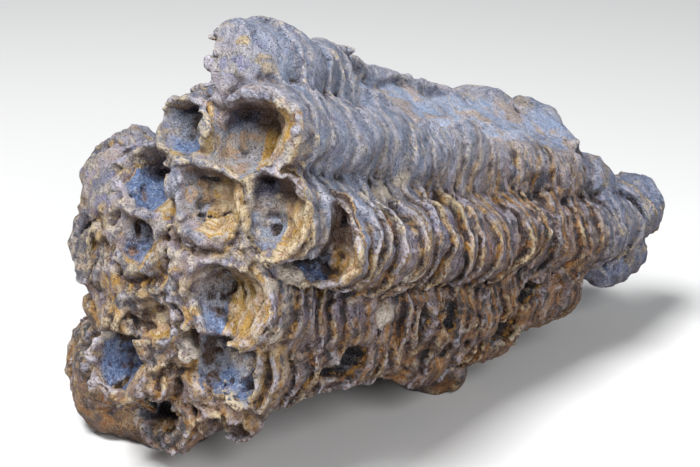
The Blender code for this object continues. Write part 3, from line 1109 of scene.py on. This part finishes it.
def stained_and_shaded_dips(n):
    """Brown in the dips, as stain and painted shade, and black painted shade in the deep gaps, holes and
    crevices.
    """
    pits = n.both(n.step(n.grain, 0.44, 0.34), n.step(n.patch, 0.35, 0.6), n.step(n.high, 1.4, 0.2))
    n.paint(n.mix(RUST, UMBER, n.step(n.rusty, 0.6, 0.4)), pits, 0.6)
    # Painted shade mixed with stain: umber and rust in the small dips
    dirt_and_shade = n.both(n.step(n.cavity, 0.3, 0.8), n.step(n.mottle, 0.30, 0.5), n.step(n.high, 1.6, 0.2))
    n.paint(n.mix(UMBER, RUST, n.step(n.rusty, 0.48, 0.56)), dirt_and_shade, 0.9)
    # Painted shade: black where small dips lie within large ones
    n.paint(SOOT, n.step(n.valley, 0.5, 0.95), n.step(n.cavity, 0.35, 0.85))
    mud_and_shade = n.mix(UMBER, SOOT, n.step(n.patch, 0.45, 0.55))
    patchy = n.step(n.mottle, 0.62, 0.46)
    # Painted shade mixed with soil: umber to black in the large dips low down
    n.paint(mud_and_shade, n.step(n.valley, 0.22, 0.6), n.step(n.level, 0.54, 0.36), patchy, 0.92)
    sunk = n.attribute("sunk")
    # Ochre and umber stain in the pits, turning to black painted shade as they deepen
    hole = n.mix(OCHRE, UMBER, n.step(n.mottle, 0.55, 0.45))
    n.paint(n.mix(hole, SOOT, n.step(sunk, 0.35, 0.9)), n.step(sunk, 0.0, 0.3))
    # Painted shade mixed with soil: umber to black in the small dips low on the block
    n.paint(mud_and_shade, n.step(n.cavity, 0.2, 0.6), n.low_down, patchy, 0.9)


def deep_and_dusty(n):
    """Deeper colours low on the flank, and dust on the far part of the middle rows."""
    deep = n.both(n.low_down, n.step(n.face, 1.0, 0.4))
    deep = n.math("MAXIMUM", deep, n.step(n.level, 0.3, 0.08))
    n.paint(n.deepened(n.colour, 1.45), n.math("MAXIMUM", deep, 0.25))
    far_along = n.step(n.attribute("growth"), 50, 75)
    dusty = n.both(far_along, n.step(n.level, 0.42, 0.54), n.step(n.cavity, 0.6, 0.2))
    n.paint(n.mix(PALE, CREAM, 0.3), dusty, n.step(n.patch, 0.42, 0.58), 0.3)


def worn_highlit_shaded_and_speckled(n):
    """Pale edges, partly wear and partly painted highlight, pale flakes, painted shade on the undersides,
    dark specks and fine grain.
    """
    # Pale edges: partly wear, partly painted highlight on the knobs and rims
    worn_and_highlit = n.mix(PALE, CREAM, n.step(n.rusty, 0.46, 0.56))
    n.paint(worn_and_highlit, n.attribute("edge"), n.step(n.grain, 0.34, 0.52), 0.9)
    # Painted shade: umber on the faces that look down
    n.paint(UMBER, n.attribute("under"), n.step(n.mottle, 0.25, 0.6), 0.85)
    n.paint(n.mix(CREAM, PALE, 0.4), n.attribute("pale"), n.step(n.mottle, 0.3, 0.45))
    n.paint(SOOT, n.step(n.specks(0.85), 0.30, 0.14), n.step(n.patch, 0.44, 0.56), 0.6)
    n.paint(n.mix(SOOT, PALE, n.step(n.fine, 0.38, 0.62)), 0.12)


LAYERS = (bare_stone, soil_and_lips, browner_low_down, cups)
LAYERS += (chalky_plate, stained_and_shaded_dips, deep_and_dusty, worn_highlit_shaded_and_speckled)


def stone_normal(n):
    """Growth lines round the stems, and grain of three sizes."""
    lines = n.math("FRACT", n.both(n.attribute("growth"), 1.6))
    normal = n.bump(n.both(lines, n.ringed), 0.4)
    normal = n.bump(n.mottle, 1.8, normal)
    normal = n.bump(n.grain, 1.6, normal)
    return n.bump(n.fine, 0.6, normal)


def stone_material():
    material = bpy.data.materials.new("coral_stone")
    n = StoneNodes(material)
    for layer in LAYERS:
        layer(n)
    n.feed(n.shader.inputs["Base Color"], n.colour)
    n.shader.inputs["Specular IOR Level"].default_value = 0.25
    n.feed(n.shader.inputs["Roughness"], n.math("ADD", 0.6, n.both(n.grain, 0.4)))
    n.feed(n.shader.inputs["Normal"], stone_normal(n))
    return material


# The photograph's viewpoint, in metres and degrees
CAMERA_TARGET = Vector((-0.0114, -0.0085, 0.038))
CAMERA_AZIMUTH = 46
CAMERA_ELEVATION = 20
CAMERA_DISTANCE = 0.450
CAMERA_LENS = 100.03
SENSOR_WIDTH = 36.0

# The studio, with each light's name, where it comes from and its power in watts
LIGHTS = (("key", (0.1, -0.7, 1.25), 11.2), ("fill", (1.0, -0.45, 0.6), 4.6))
LIGHT_SIZE = 0.35
LIGHT_DISTANCE = 0.9
LIGHT_TARGET = Vector((0, 0, 0.04))
FLOOR_HALF = 3.0
FLOOR_COLOUR = (0.85, 0.85, 0.85, 1)
FLOOR_ROUGHNESS = 0.9
WORLD_COLOUR = (0.92, 0.96, 1.0, 1)
WORLD_STRENGTH = 0.13


def placed(name, data, location, back):
    """A camera or a lamp there, which looks away from the direction `back`."""
    made = linked(name, data)
    made.location = location
    made.rotation_mode = "QUATERNION"
    made.rotation_quaternion = (-back).to_track_quat("-Z", "Y")
    return made


def add_camera():
    azimuth, elevation = math.radians(CAMERA_AZIMUTH), math.radians(CAMERA_ELEVATION)
    flat = math.cos(elevation)
    back = Vector((math.sin(azimuth) * flat, -math.cos(azimuth) * flat, math.sin(elevation)))
    data = bpy.data.cameras.new("photo_camera")
    data.sensor_width = SENSOR_WIDTH
    data.lens = CAMERA_LENS
    camera = placed("photo_camera", data, CAMERA_TARGET + back * CAMERA_DISTANCE, back)
    bpy.context.scene.camera = camera


def add_lights():
    for name, toward, power in LIGHTS:
        lamp = bpy.data.lights.new(name, "AREA")
        lamp.energy = power
        lamp.size = LIGHT_SIZE
        back = Vector(toward).normalized()
        placed(name, lamp, back * LIGHT_DISTANCE + LIGHT_TARGET, back)


def floor_material():
    material = bpy.data.materials.new("pale_floor")
    material.use_nodes = True
    shader = material.node_tree.nodes["Principled BSDF"]
    shader.inputs["Base Color"].default_value = FLOOR_COLOUR
    shader.inputs["Roughness"].default_value = FLOOR_ROUGHNESS
    return material


def add_studio():
    mesh = bpy.data.meshes.new("floor")
    corners = [(x * FLOOR_HALF, y * FLOOR_HALF, 0) for x, y in ((-1, -1), (1, -1), (1, 1), (-1, 1))]
    mesh.from_pydata(corners, [], [(0, 1, 2, 3)])
    mesh.materials.append(floor_material())
    linked("floor", mesh)
    world = bpy.data.worlds.new("studio")
    bpy.context.scene.world = world
    world.use_nodes = True
    background = world.node_tree.nodes["Background"]
    background.inputs["Color"].default_value = WORLD_COLOUR
    background.inputs["Strength"].default_value = WORLD_STRENGTH
    add_lights()
    bpy.context.scene.view_settings.view_transform = "Standard"


coral = build_coral()
coral.data.materials.append(stone_material())
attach(coral, "root")
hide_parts("coral_colony")
add_camera()
add_studio()
